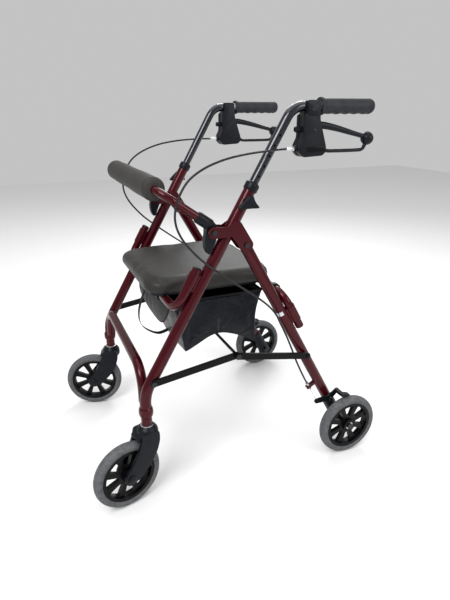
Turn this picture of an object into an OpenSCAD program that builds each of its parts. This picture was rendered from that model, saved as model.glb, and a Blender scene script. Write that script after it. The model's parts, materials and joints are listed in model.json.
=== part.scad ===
// Four-wheel rollator walker with a folding frame, padded seat, backrest bar and loop brakes.
// Millimetres. +X is the user's left side, -Y is the front, +Z is up.
// The origin is on the floor, at the centre of the walker's outline.

/* [Frame] */
// Half the distance between the two side frames
side_x = 237; // [230:1:245]
// Outer diameter of the leg tubes
leg_od = 28.6; // [27:0.1:29]
// Wall of the leg tubes
leg_wall = 1.5; // [1:0.1:2]
// Lean of the front legs from the vertical
front_lean = 30; // [29.5:0.1:30.5]
// Lean of the rear legs from the vertical
rear_lean = 29.4; // [29:0.1:29.5]

/* [Handles] */
// Height of the grips' centre line
grip_z = 945; // [930:1:960]
// Outer diameter of the handle tubes
handle_od = 22.2; // [21:0.1:22.3]
// Length of each grip
grip_len = 147; // [135:1:150]

/* [Wheels] */
// Diameter of the tyres
wheel_d = 178; // [174:1:179]
// Width of the tyres
tyre_w = 30; // [26:1:30]
// Angle that the casters are turned outwards from straight ahead
caster_turn = 15; // [0:1:20]

/* [Seat] */
// Width of the seat cushion
seat_w = 345; // [320:1:350]
// Depth of the seat cushion
seat_d = 340; // [320:1:342]
// Diameter of the backrest foam
foam_d = 53; // [44:1:54]

/* [Hidden] */
$fn = 48;

// Colours
red = [0.33, 0.03, 0.07];
handle_black = [0.05, 0.06, 0.09];
charcoal = [0.10, 0.11, 0.13];
vinyl = [0.16, 0.16, 0.15];
tyre_grey = [0.42, 0.43, 0.44];
steel = [0.75, 0.76, 0.78];
cloth_black = [0.03, 0.04, 0.07];

// Running clearance on the radius of a pin, and the gap between parts that pass each other
run = 0.05;
gap = 0.4;

// Front leg: a vertical stem, a bend, then a straight leg.
// leg_t is a distance along the leg, measured up from the corner of the bend.
stem_y = -255;
stem_bottom_z = 213;
corner_z = 296;
bend_r = 110;
leg_top_t = 545;
leg_tangent = bend_r * tan(front_lean / 2);
wheel_r = wheel_d / 2;

// Rear leg: from the pivot down to the axle, measured down the leg from the pivot
pivot_y = 4;
pivot_z = 644;
axle_z = wheel_r;
rear_leg_run = (pivot_z - axle_z) / cos(rear_lean);
axle_y = pivot_y + rear_leg_run * sin(rear_lean);
rear_wheel_x = 291;

// Seat bows: tubes that run beside the legs in sleeves and cross over under the seat
bow_od = 22.2;
bow_wall = 1.5;
bow_off = leg_od / 2 + bow_od / 2 + 2;
bow_z = 500;
bow_bend = 40;
sleeve_od = bow_od + 4;
front_bow_y = stem_y + (bow_z - corner_z - bow_off * sin(front_lean)) * tan(front_lean)
    - bow_off * cos(front_lean);
rear_bow_y = pivot_y + (pivot_z - bow_z + bow_off * sin(rear_lean)) * tan(rear_lean)
    + bow_off * cos(rear_lean);

// Seat
seat_front_y = -216;
seat_under_z = 512;
board_t = 6;
cushion_t = 30;

// Backrest
back_pivot_y = -77;
back_pivot_z = 680;
back_rise = 35;
back_tube_od = 19;
back_arm_off = 10;
back_reach = 154;
back_bend = 36;
foam_half = 200;

// Handle
handle_bend = 48;
handle_turn = 90 - front_lean;
handle_in = 145;
bolt_d = 8;
grip_y0 = 188;
handle_corner_t = (grip_z - corner_z) / cos(front_lean);
handle_corner_y = stem_y + handle_corner_t * sin(front_lean);
lever_pivot = [172, 893];
knob_t = 514;

// Brake arm at the rear wheel
arm_pivot_t = rear_leg_run - 90;
arm_pivot_y = pivot_y + arm_pivot_t * sin(rear_lean);
arm_pivot_z = pivot_z - arm_pivot_t * cos(rear_lean);

// Spreader links on the outside of the legs, as [y, z]
link_x = side_x + leg_od / 2 + 1;
link_w = 6;
link_h = 17;
link_bolt_t = 39;
link_front = [stem_y + link_bolt_t * sin(front_lean), corner_z + link_bolt_t * cos(front_lean)];
link_hinge = [-19, 362];
link_rear_t = 370;
link_rear = [pivot_y + link_rear_t * sin(rear_lean), pivot_z - link_rear_t * cos(rear_lean)];

// Casters
trail = 63.5;
fork_gap = tyre_w / 2 + 3;
fork_t = 7;

// Brake cable route on the left side, from the housing to the brake at the rear wheel
cable_d = 5;
cable_route = [[237, 105.5, 854], [243, 89, 854], [254, 58, 853], [260, 5, 849], [262, -50, 840],
    [262, -98, 824], [262, -134, 802], [262, -155, 775], [262, -167, 745], [262, -170, 718],
    [262, -163, 690], [262, -145, 660], [262, -113, 624], [262, -76, 593], [262, -28, 556],
    [260, 30, 513], [256, 68, 480], [252, 91, 452], [248, 106, 425], [244, 126, 388],
    [241, 146, 346], [239, 163, 306], [238, 181, 268], [237.3, 192, 246.5], [237, 199.9, 231.3],
    [237, 205.5, 221.5]];
wire_start = [237.4, 220.4, 194.4];
wire_end = [252.5, 230.5, 167];

// ---------- Shared shapes ----------

// Tube with a given outer and inner diameter, standing on the origin
module tube(od, id, len) {
    difference() {
        cylinder(d = od, h = len);
        translate([0, 0, -1]) cylinder(d = id, h = len + 2);
    }
}

// Bend that starts at the origin going up and turns towards +Y. Its wall is a hair thinner than
// the tubes' and laps a degree into each of them, which makes the run one solid.
module elbow(r, angle, od, id) {
    translate([0, r, 0]) rotate([90, 0, -90]) rotate([0, 0, -1])
        rotate_extrude(angle = angle + 2) translate([r, 0]) difference() {
            circle(d = od - 0.1);
            circle(d = id + 0.1);
        }
}

// Places its children at the far end of such a bend
module after_elbow(r, angle) {
    translate([0, r * (1 - cos(angle)), r * sin(angle)]) rotate([-angle, 0, 0]) children();
}

// Cylinder along X from x0 to x1 at a point [y, z]
module pin_x(x0, x1, at, d) {
    translate([x0, at[0], at[1]]) rotate([0, 90, 0]) cylinder(d = d, h = x1 - x0);
}

// Outline in the side plane, given as [y, z] points, as a plate from x0 to x1
module plate_x(x0, x1) {
    translate([x0, 0, 0]) rotate([90, 0, 90]) linear_extrude(x1 - x0) children();
}

// Tube along X from x0 to x1 at a point [y, z]
module pin_tube_x(x0, x1, at, od, id) {
    translate([x0, at[0], at[1]]) rotate([0, 90, 0]) tube(od, id, x1 - x0);
}

module both_sides() {
    children();
    mirror([1, 0, 0]) children();
}

module right_side() {
    mirror([1, 0, 0]) children();
}

// Places its children on the front leg's axis, a distance t up from the corner
module on_front_leg(t) {
    translate([side_x, stem_y, corner_z]) rotate([-front_lean, 0, 0])
        translate([0, 0, t]) children();
}

// Places its children on the rear leg's axis, a distance t down from the pivot.
// Local -Z runs down the leg, and +Y is the leg's rear.
module on_rear_leg(t) {
    translate([side_x, pivot_y, pivot_z]) rotate([rear_lean, 0, 0])
        translate([0, 0, -t]) children();
}

// Places its children in a caster's frame: stem axis on Z, wheel towards -Y
module in_caster() {
    translate([side_x, stem_y, 0]) rotate([0, 0, caster_turn]) children();
}

function smooth_point(a, b, c, d, t) =
    0.5 * (2 * b + (c - a) * t + (2 * a - 5 * b + 4 * c - d) * t * t
        + (3 * b - a - 3 * c + d) * t * t * t);

// Points on a smooth curve through a route, with a number of steps for each span
function smooth_route(p, steps) = [
    for (i = [0 : len(p) - 2]) for (j = [0 : steps - 1])
        smooth_point(p[max(i - 1, 0)], p[i], p[i + 1], p[min(i + 2, len(p) - 1)], j / steps),
    p[len(p) - 1]];

function unit(v) = v / norm(v);

function ring_at(c, dir, r, n) = let (
        side = unit(cross(dir, [0.3, 0, 1])),
        top = cross(side, dir))
    [for (k = [0 : n - 1]) c + r * (cos(360 * k / n) * side + sin(360 * k / n) * top)];

// Round cord along a route
module cord(route, d, steps, n) {
    p = smooth_route(route, steps);
    last = len(p) - 1;
    points = [for (i = [0 : last])
        each ring_at(p[i], unit(p[min(i + 1, last)] - p[max(i - 1, 0)]), d / 2, n)];
    faces = concat([[for (k = [0 : n - 1]) k]],
        [for (i = [0 : last - 1]) for (k = [0 : n - 1])
            [i * n + k, (i + 1) * n + k, (i + 1) * n + (k + 1) % n, i * n + (k + 1) % n]],
        [[for (k = [n - 1 : -1 : 0]) last * n + k]]);
    polyhedron(points, faces, convexity = 6);
}

// ---------- Front frame ----------

module front_leg_tube() {
    id = leg_od - 2 * leg_wall;
    translate([side_x, stem_y, stem_bottom_z + 25])
        tube(leg_od, id, corner_z - leg_tangent - stem_bottom_z - 25);
    translate([side_x, stem_y, corner_z - leg_tangent])
        elbow(bend_r, front_lean, leg_od, id);
    on_front_leg(leg_tangent) difference() {
        tube(leg_od, id, leg_top_t - leg_tangent);
        translate([0, 0, link_bolt_t - leg_tangent]) rotate([0, 90, 0])
            cylinder(d = bolt_d, h = 60, center = true);
        translate([0, 0, knob_t - leg_tangent]) rotate([0, 90, 0])
            cylinder(d = bolt_d, h = 20);
    }
}

// Neck and rolled bead above the caster
module leg_foot() {
    r = leg_od / 2;
    translate([side_x, stem_y, stem_bottom_z]) rotate_extrude()
        polygon([[r - 3, 0], [r - 0.6, 0], [r - 0.6, 20], [r + 2.4, 24], [r + 3.6, 30],
            [r + 3.6, 38], [r + 2.4, 44], [r - 0.5, 49], [r - 0.5, 25.5], [r - 3, 25.5]]);
}

// Sleeve that holds a seat bow, with a web that welds it to the leg beside it
module bow_sleeve(z0, len, off) {
    translate([0, 0, z0]) difference() {
        union() {
            translate([0, off, 0]) cylinder(d = sleeve_od, h = len);
            translate([-7, min(off, 0), 0.5]) cube([14, abs(off), len - 1]);
        }
        translate([0, off, -1]) cylinder(d = bow_od + 2 * run, h = len + 2);
        translate([0, 0, -1]) cylinder(d = leg_od - 1, h = len + 2);
    }
}

module front_leg() {
    color(red) {
        front_leg_tube();
        leg_foot();
        on_front_leg(0) bow_sleeve(276, 44, -bow_off);
    }
}

// Cross tube: a wide U turned down at both ends, welded to the inner sides of the stems
cross_y = -253;
cross_z = 348;
cross_od = 25.4;
cross_bend = 60;
cross_end_z = 260;
cross_end_x = side_x - leg_od / 2 - cross_od / 2 - 0.1;

module front_cross_tube() {
    color(red) {
        straight = cross_end_x - cross_bend;
        pin_tube_x(-straight, straight, [cross_y, cross_z], cross_od, cross_od - 3);
        both_sides() {
            translate([straight, cross_y, cross_z]) rotate([0, 90, 0]) rotate([0, 0, -90])
                elbow(cross_bend, 90, cross_od, cross_od - 3);
            translate([cross_end_x, cross_y, cross_end_z])
                tube(cross_od, cross_od - 3, cross_z - cross_bend - cross_end_z);
        }
    }
}

function arc(c, r, from, to) = [for (i = [0 : 10]) let (a = from + (to - from) * i / 10)
    c + r * [cos(a), sin(a)]];

// Cheek that carries the backrest at its front lobe and the rear leg at its rear lobe
module cheek_outline() {
    polygon(concat(arc([back_pivot_y, back_pivot_z], 14, 265, 100), [[-46, 690]],
        arc([-21, 690], 13, 110, 30), arc([pivot_y, pivot_z], 16.5, 20, -150),
        [[-34, 668], [-46, 667]]));
}

module frame_brackets() {
    inner = leg_od / 2 + gap;
    color(red) both_sides() {
        for (x = [side_x - inner - 3, side_x + inner]) difference() {
            plate_x(x, x + 3) cheek_outline();
            pin_x(x - 5, x + 5, [back_pivot_y, back_pivot_z], bolt_d);
            pin_x(x - 5, x + 5, [pivot_y, pivot_z], bolt_d);
        }
        // Weld blocks between the cheeks and the leg
        on_front_leg(412) difference() {
            translate([-inner - 1.5, -4, 0]) cube([2 * inner + 3, 8, 50]);
            translate([0, 0, -1]) cylinder(d = leg_od, h = 60);
        }
    }
}

// Seat bow: a crossbar with both ends bent up or down into sleeves
module seat_bow(y, turn, leg) {
    id = bow_od - 2 * bow_wall;
    straight = side_x - bow_bend;
    pin_tube_x(-straight, straight, [y, bow_z], bow_od, id);
    both_sides() translate([0, y, bow_z]) rotate([turn, 0, 0]) rotate([0, 90, 0])
        translate([0, 0, straight]) {
            elbow(bow_bend, 90, bow_od, id);
            after_elbow(bow_bend, 90) tube(bow_od, id, leg);
        }
}

bow_leg = 70;

module front_seat_bow() {
    color(red) seat_bow(front_bow_y, 90 - front_lean, bow_leg);
}

module bow_cap() {
    translate([0, 0, -8]) cylinder(d = bow_od - 2 * bow_wall, h = 8);
    cylinder(d = bow_od, h = 1.5);
    translate([0, 0, 1.5]) cylinder(d1 = bow_od, d2 = bow_od - 7, h = 2.5);
}

module front_bow_caps() {
    color(charcoal) both_sides() translate([side_x, front_bow_y, bow_z])
        rotate([-front_lean, 0, 0]) translate([0, 0, bow_bend + bow_leg]) bow_cap();
}

module tube_collars() {
    color(charcoal) both_sides() on_front_leg(leg_top_t) {
        difference() {
            union() {
                cylinder(d = 33, h = 12);
                translate([0, 0, 12]) cylinder(d1 = 33, d2 = 29, h = 6);
                translate([0, 0, -40]) cylinder(d = leg_od - 2 * leg_wall, h = 41);
            }
            translate([0, 0, -41]) cylinder(d = handle_od + 2 * run, h = 80);
            translate([0, 0, knob_t - leg_top_t]) rotate([0, 90, 0])
                cylinder(d = bolt_d, h = 20);
        }
    }
}

module bolt_x(x0, x1, at) {
    pin_x(x0, x1, at, bolt_d);
    pin_x(x1, x1 + 4, at, 13);
    pin_x(x0 - 5, x0, at, 13);
}

module frame_bolts() {
    out = leg_od / 2 + gap + 3;
    color(steel) both_sides() {
        bolt_x(side_x - out, side_x + out, [back_pivot_y, back_pivot_z]);
        bolt_x(side_x - out, side_x + out, [pivot_y, pivot_z]);
        bolt_x(side_x - leg_od / 2, link_x + link_w + gap, link_front);
    }
}

module stem_bushings() {
    color(charcoal) both_sides() translate([side_x, stem_y, stem_bottom_z])
        difference() {
            cylinder(d = leg_od - 6, h = 52);
            translate([0, 0, -1]) cylinder(d = 12 + 2 * run, h = 60);
        }
}

// ---------- Soft goods under the seat ----------

// Pouch: a sling of cloth between the seat bows, open at the top. Its side outline is [y, z].
pouch_half_w = 152;
cloth_t = 2;
pouch_outside = [[-154, 484], [-130, 420], [-117, 343], [-66, 372], [-15, 383], [30, 372],
    [77, 343], [78, 420], [100, 484]];
pouch_inside = [[-151, 490], [-127.5, 420], [-115.5, 347], [-66, 374.5], [-15, 385.5],
    [30, 374.5], [75.5, 347], [75.5, 420], [97, 490]];

module pouch() {
    color(cloth_black) difference() {
        plate_x(-pouch_half_w, pouch_half_w) polygon(pouch_outside);
        plate_x(-pouch_half_w + cloth_t, pouch_half_w - cloth_t) polygon(pouch_inside);
    }
}

module front_pocket() {
    color(vinyl) translate([0, -158, 0]) rotate([90, 0, 0]) linear_extrude(26) hull() {
        translate([-148, 470]) square([296, 10]);
        for (x = [-102, 102]) translate([x, 427]) circle(r = 42, $fn = 32);
    }
}

strap_w = 20;
strap_path = [[-190, 500], [-200, 470], [-208, 436], [-209, 408], [-203, 381], [-188, 358],
    [-156, 338], [-134, 337]];

module pull_strap() {
    path = smooth_route(strap_path, 3);
    color(cloth_black) plate_x(-strap_w / 2, strap_w / 2)
        polygon(concat(path, [for (i = [len(path) - 1 : -1 : 0]) path[i] + [-1.2, -1.2]]));
}

// Jacketed cable, and the bare wire that comes out of the adjuster and pulls the brake arm
module brake_cable() {
    color(charcoal) cord(cable_route, cable_d, 3, 8);
    color(steel) cord([wire_start, wire_end], 1.6, 1, 8);
}

// ---------- Handles ----------

module handle_tube() {
    tangent = handle_bend * tan(handle_turn / 2);
    from = leg_top_t - handle_in;
    to = handle_corner_t - tangent;
    id = handle_od - 3;
    color(handle_black) on_front_leg(0) {
        difference() {
            translate([0, 0, from]) tube(handle_od, id, to - from);
            for (t = [leg_top_t + 34 : 25 : to - 20])
                translate([0, 0, t]) rotate([0, 90, 0]) cylinder(d = 5, h = 20);
        }
        translate([0, 0, to]) {
            elbow(handle_bend, handle_turn, handle_od, id);
            after_elbow(handle_bend, handle_turn)
                tube(handle_od, id, grip_y0 + grip_len - 6 - handle_corner_y - tangent);
        }
    }
}

module grip() {
    color(charcoal) translate([side_x, grip_y0, grip_z]) rotate([-90, 0, 0]) difference() {
        union() {
            cylinder(d = 39, h = 8);
            translate([0, 0, 8]) cylinder(d1 = 39, d2 = 34, h = 10);
            translate([0, 0, 18]) cylinder(d = 34, h = grip_len - 28);
            translate([0, 0, grip_len - 10]) cylinder(d1 = 34, d2 = 25, h = 10);
        }
        translate([0, 0, -1]) cylinder(d = handle_od, h = grip_len - 5);
    }
}

// Brake housing: a clamp round the handle tube with a deep body below it
housing_half = 17.5;

module housing_outline() {
    polygon([[150, 959], [178, 959], [183, 954], [183, 918], [187, 905], [203, 858],
        [203, 846], [194, 838], [144, 835], [131, 847], [131, 861], [141, 878],
        [141, 922], [148, 930], [148, 957]]);
}

module brake_housing() {
    color(charcoal) difference() {
        union() {
            plate_x(side_x - housing_half, side_x + housing_half) housing_outline();
            translate([side_x, 126, 896]) rotate([-90, 0, 0]) cylinder(d = 13, h = 18);
        }
        translate([side_x, 120, grip_z]) rotate([-90, 0, 0]) cylinder(d = handle_od, h = 90);
        // Slot that the lever swings in
        translate([side_x - 6, 160, 830]) cube([12, 60, 90]);
        pin_x(side_x - 20, side_x + 20, lever_pivot, 6);
        translate([side_x, 120, 854]) rotate([-90, 0, 0]) cylinder(d = 6, h = 60);
    }
}

module brake_fittings() {
    color(steel) {
        pin_x(side_x - housing_half + 1, side_x + housing_half - 1, lever_pivot, 6);
        translate([side_x, 107.5, 854]) rotate([-90, 0, 0]) {
            cylinder(d = 8, h = 14);
            cylinder(d = 6, h = 30);
            translate([0, 0, 14]) cylinder(d = 11, h = 4, $fn = 6);
        }
    }
}

// Loop lever: a heavy upper bar to the ball, and a thin bar that returns below
module lever_outline() {
    difference() {
        polygon([[166, 898], [178, 912], [196, 911], [322, 884], [330, 876], [326, 849],
            [318, 844], [213, 843], [204, 850], [190, 880], [170, 884]]);
        polygon([[212, 893], [222, 897], [306, 879], [315, 868], [316, 850], [214, 849],
            [208, 856]]);
    }
}

module brake_lever() {
    color(charcoal) {
        difference() {
            plate_x(side_x - 5, side_x + 5) lever_outline();
            pin_x(side_x - 20, side_x + 20, lever_pivot, 6 + 2 * run);
        }
        translate([side_x, 330, 873]) sphere(r = 15.5);
    }
}

module wing_knob() {
    color(charcoal) on_front_leg(knob_t) rotate([0, 90, 0]) {
        translate([0, 0, leg_od / 2 - 2]) cylinder(d = 6, h = 6);
        translate([0, 0, leg_od / 2 + 1]) difference() {
            linear_extrude(14) hull() for (a = [0, 120, 240])
                rotate(a + 40) translate([22, 0]) circle(r = 5, $fn = 24);
            for (a = [0, 120, 240]) rotate(a + 100) translate([40, 0, -1])
                cylinder(r = 27, h = 20);
        }
    }
}

// ---------- Rear frame ----------

module rear_leg() {
    color(red) on_rear_leg(0) difference() {
        union() {
            translate([0, 0, -rear_leg_run + 62])
                tube(leg_od, leg_od - 2 * leg_wall, rear_leg_run - 62 + 13);
            translate([0, 0, -268]) bow_sleeve(0, 48, bow_off);
            // Tab for the brake cable
            translate([-5, -40, -488]) cube([10, 27, 9]);
        }
        rotate([0, 90, 0]) cylinder(d = bolt_d + 2 * run, h = 60, center = true);
        translate([0, -32, -498]) cylinder(d = 6, h = 30);
        translate([0, 0, -arm_pivot_t]) rotate([0, 90, 0]) cylinder(d = 6, h = 20);
        translate([0, 0, -link_rear_t]) rotate([0, 90, 0]) cylinder(d = 9, h = 20);
    }
}

module rear_seat_bow() {
    color(red) seat_bow(rear_bow_y, rear_lean - 90, bow_leg);
}

module rear_bow_caps() {
    color(charcoal) both_sides() translate([side_x, rear_bow_y, bow_z])
        rotate([rear_lean + 180, 0, 0]) translate([0, 0, bow_bend + bow_leg]) bow_cap();
}

module rear_bow_pad() {
    color(charcoal) both_sides() translate([183, rear_bow_y, bow_z]) rotate([0, 90, 0])
        tube(30, bow_od, 13);
}

// Block on the lower end of each rear leg, which holds the axle
module axle_blocks() {
    color(charcoal) both_sides() on_rear_leg(rear_leg_run) difference() {
        union() {
            translate([0, 0, -16]) cylinder(d = 35, h = 94);
            rotate([0, 90, 0]) cylinder(d = 30, h = 34);
        }
        translate([0, 0, 62]) cylinder(d = leg_od, h = 30);
        rotate([0, 90, 0]) cylinder(d = 10, h = 100, center = true);
    }
}

module rear_axles() {
    color(steel) both_sides() {
        pin_x(side_x - 22, rear_wheel_x + tyre_w / 2 + 3, [axle_y, axle_z], 10);
        pin_x(side_x - 27, side_x - 22, [axle_y, axle_z], 17);
        pin_x(rear_wheel_x + tyre_w / 2 + 0.6, rear_wheel_x + tyre_w / 2 + 4,
            [axle_y, axle_z], 17);
        pin_x(side_x + leg_od / 2 - 2, side_x + leg_od / 2 + 15,
            [arm_pivot_y, arm_pivot_z], 6);
        pin_x(side_x + leg_od / 2 + 13.4, side_x + leg_od / 2 + 17,
            [arm_pivot_y, arm_pivot_z], 11);
    }
}

module cable_fittings() {
    color(steel) both_sides() {
        // Clip round the rear leg
        on_rear_leg(224) difference() {
            tube(leg_od + 2.4, leg_od, 12);
            translate([-30, 0, -1]) cube([60, 30, 20]);
        }
        // Barrel adjuster in the tab of the rear leg
        on_rear_leg(0) translate([0, -32, -488]) difference() {
            union() {
                translate([0, 0, -8]) cylinder(d = 6, h = 26);
                translate([0, 0, 9]) cylinder(d = 9, h = 9);
                translate([0, 0, -5]) cylinder(d = 10, h = 5, $fn = 6);
            }
            translate([0, 0, -20]) cylinder(d = 2, h = 60);
        }
    }
}

// Brake arm: pivots on the rear leg and reaches over the tyre
module brake_arm() {
    x0 = side_x + leg_od / 2 + 3.6;
    color(charcoal) {
        difference() {
            plate_x(x0, x0 + 5) union() {
                hull() {
                    translate([arm_pivot_y, arm_pivot_z]) circle(r = 9, $fn = 32);
                    translate([arm_pivot_y - 42, arm_pivot_z - 2]) circle(r = 7, $fn = 32);
                }
                hull() {
                    translate([arm_pivot_y, arm_pivot_z]) circle(r = 8, $fn = 32);
                    translate([arm_pivot_y + 23, arm_pivot_z + 19]) circle(r = 6.5, $fn = 32);
                }
            }
            pin_x(x0 - 5, x0 + 10, [arm_pivot_y, arm_pivot_z], 6 + 2 * run);
        }
        translate([x0, arm_pivot_y + 17, arm_pivot_z + 16]) cube([30, 11, 8]);
        hull() {
            translate([x0 + 24, arm_pivot_y + 18, arm_pivot_z + 16]) cube([14, 9, 8]);
            translate([x0 + 24, arm_pivot_y + 35, arm_pivot_z + 15]) cube([14, 9, 4]);
        }
    }
}

// ---------- Wheels, about their own axle on X ----------

module wheel_tyre() {
    edge = tyre_w / 2;
    rim_r = wheel_r - 18;
    rotate([0, 90, 0]) rotate_extrude($fn = 96) polygon(concat(
        [[rim_r, -edge + 3], [wheel_r - 11, -edge]],
        [for (a = [-80 : 16 : 80])
            [wheel_r - 11 + 11 * cos(a), (edge - 3) * sin(a) + 3 * sin(a)]],
        [[wheel_r - 11, edge], [rim_r, edge - 3]]));
}

// Window between two spokes, with rounded corners
module spoke_window() {
    inner = 25;
    outer = wheel_r - 28;
    polygon(concat(
        [for (a = [-12 : 4 : 12]) outer * [cos(a), sin(a)]],
        [[outer - 5, 14.5], [inner + 6, 6.5], [inner + 1, 4]],
        [[inner + 1, -4], [inner + 6, -6.5], [outer - 5, -14.5]]));
}

module wheel_rim() {
    rim_r = wheel_r - 18;
    rotate([0, 90, 0]) difference() {
        union() {
            translate([0, 0, -12]) tube(2 * rim_r, 2 * rim_r - 18, 24);
            translate([0, 0, -6]) cylinder(d = 2 * rim_r - 16, h = 12);
            translate([0, 0, -15]) cylinder(d = 36, h = 30);
        }
        for (a = [0 : 45 : 315]) rotate(a) translate([0, 0, -20])
            linear_extrude(40) spoke_window();
        translate([0, 0, -20]) cylinder(d = 22, h = 40);
    }
}

// Two ball bearings, drawn as plain rings, and the spacer between them
module wheel_bearings(bore) {
    rotate([0, 90, 0]) for (z = [-14, 7]) translate([0, 0, z]) tube(22, bore + 2 * run, 7);
    rotate([0, 90, 0]) translate([0, 0, -7]) tube(16, bore + 2 * run, 14);
}

module at_rear_wheel() {
    translate([rear_wheel_x, axle_y, axle_z]) children();
}

module at_front_wheel() {
    in_caster() translate([0, -trail, wheel_r]) children();
}

// ---------- Casters ----------

module fork_blade() {
    hull() {
        translate([-4, 177]) circle(r = 22, $fn = 32);
        translate([-26, 128]) circle(r = 25, $fn = 32);
        translate([-trail, wheel_r]) circle(r = 18, $fn = 32);
    }
}

module caster_fork() {
    color(charcoal) in_caster() difference() {
        union() {
            for (x = [-fork_gap - fork_t, fork_gap])
                plate_x(x, x + fork_t) fork_blade();
            translate([0, 0, 184]) cylinder(d = 50, h = 18);
            translate([0, 0, 202]) cylinder(d1 = 50, d2 = 36, h = 9);
        }
        translate([0, 0, 180]) cylinder(d = 12, h = 40);
        translate([0, -trail, wheel_r]) rotate([0, 90, 0])
            cylinder(d = bolt_d, h = 100, center = true);
    }
}

module caster_pins() {
    wide = fork_gap + fork_t;
    color(steel) in_caster() {
        translate([0, 0, 186]) cylinder(d = 12, h = 76);
        pin_x(-wide, wide, [-trail, wheel_r], bolt_d);
        pin_x(wide, wide + 4, [-trail, wheel_r], 13);
        pin_x(-wide - 5, -wide, [-trail, wheel_r], 13);
        for (x = [-fork_gap, 14.2]) pin_x(x, x + fork_gap - 14.2, [-trail, wheel_r], 12);
    }
}

// ---------- Seat ----------

module rounded_rect(w, d, r) {
    hull() for (x = [r - w / 2, w / 2 - r], y = [r, d - r]) translate([x, y]) circle(r = r);
}

module seat_board() {
    clip_w = 26;
    color(charcoal) difference() {
        union() {
            translate([0, seat_front_y + 12, seat_under_z]) linear_extrude(board_t)
                rounded_rect(seat_w - 24, seat_d - 24, 30);
            for (x = [-110, 110]) {
                pin_x(x - clip_w / 2, x + clip_w / 2, [front_bow_y, bow_z], bow_od + 8);
                translate([x - clip_w / 2, front_bow_y - 12, bow_z + 8])
                    cube([clip_w, 24, seat_under_z - bow_z - 7]);
            }
        }
        for (x = [-110, 110])
            pin_x(x - clip_w, x + clip_w, [front_bow_y, bow_z], bow_od + 2 * run);
    }
}

module seat_cushion() {
    color(vinyl) translate([0, seat_front_y, seat_under_z + board_t]) hull() {
        linear_extrude(1) rounded_rect(seat_w - 6, seat_d, 42);
        translate([0, -1, 8]) linear_extrude(12) rounded_rect(seat_w, seat_d + 2, 44);
        translate([0, 8, cushion_t - 1]) linear_extrude(1)
            rounded_rect(seat_w - 20, seat_d - 16, 40);
    }
}

// ---------- Backrest: arms that rise forwards from the brackets ----------

// Places its children on the left arm's axis, with +Z running out along the arm
module on_back_arm() {
    translate([side_x, back_pivot_y, back_pivot_z]) rotate([90 - back_rise, 0, 0])
        translate([0, back_arm_off, 0]) children();
}

back_bar_y = back_pivot_y - back_reach * cos(back_rise) + back_arm_off * sin(back_rise);
back_bar_z = back_pivot_z + back_reach * sin(back_rise) + back_arm_off * cos(back_rise);

module backrest_tube() {
    straight = side_x - back_bend;
    id = back_tube_od - 3;
    color(red) {
        pin_tube_x(-straight, straight, [back_bar_y, back_bar_z], back_tube_od, id);
        both_sides() on_back_arm() {
            translate([0, 0, 22]) tube(back_tube_od, id, back_reach - back_bend - 22);
            translate([0, 0, back_reach - back_bend]) rotate([0, 0, 90])
                elbow(back_bend, 90, back_tube_od, id);
        }
    }
}

module backrest_foam() {
    color(vinyl) translate([0, back_bar_y, back_bar_z]) rotate([0, 90, 0]) difference() {
        union() {
            cylinder(d = foam_d, h = 2 * foam_half - 16, center = true);
            for (up = [0, 180]) rotate([up, 0, 0]) translate([0, 0, foam_half - 8])
                cylinder(d1 = foam_d, d2 = foam_d - 12, h = 8);
        }
        cylinder(d = back_tube_od, h = 2 * foam_half + 10, center = true);
    }
}

// Plastic socket on each arm, with a fin that rests on the front leg
module backrest_sockets() {
    half = leg_od / 2 - 0.3;
    color(charcoal) both_sides() difference() {
        union() {
            on_back_arm() translate([0, 0, 14]) cylinder(d = 27, h = 36);
            plate_x(side_x - 9, side_x + 9) hull() {
                translate([back_pivot_y, back_pivot_z]) circle(r = 12, $fn = 32);
                translate([back_pivot_y - 13, back_pivot_z + 18]) circle(r = 11, $fn = 32);
            }
            plate_x(side_x - 8, side_x + 8) polygon([[-89, 682], [-97, 660], [-94, 640],
                [-88, 630], [-82, 632], [-75, 650], [-66, 676]]);
            pin_x(side_x - half, side_x + half, [back_pivot_y, back_pivot_z], 22);
        }
        pin_x(side_x - 40, side_x + 40, [back_pivot_y, back_pivot_z], bolt_d + 2 * run);
        on_back_arm() translate([0, 0, 22]) cylinder(d = back_tube_od, h = 60);
    }
}

// ---------- Spreaders ----------

module link(a, b, x) {
    plate_x(x, x + link_w) hull() for (p = [a, b]) translate(p) circle(d = link_h, $fn = 32);
}

module spreader_front_links() {
    color(charcoal) both_sides() difference() {
        link(link_front, link_hinge, link_x);
        pin_x(link_x - 5, link_x + 20, link_front, bolt_d + 2 * run);
        pin_x(link_x - 5, link_x + 20, link_hinge, bolt_d);
    }
}

module spreader_rear_links() {
    x = link_x + link_w + gap;
    color(charcoal) both_sides() difference() {
        union() {
            link(link_hinge, link_rear, x);
            pin_x(link_x - 0.6, x + link_w + 3, link_rear, 9);
        }
        pin_x(x - 5, x + 20, link_hinge, bolt_d + 2 * run);
    }
}

module cross_rod() {
    end = link_x + 2 * link_w + 2 * gap;
    color(handle_black) pin_x(-end, end, link_hinge, bolt_d);
    color(handle_black) both_sides() pin_x(end, end + 4, link_hinge, 14);
}

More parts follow.
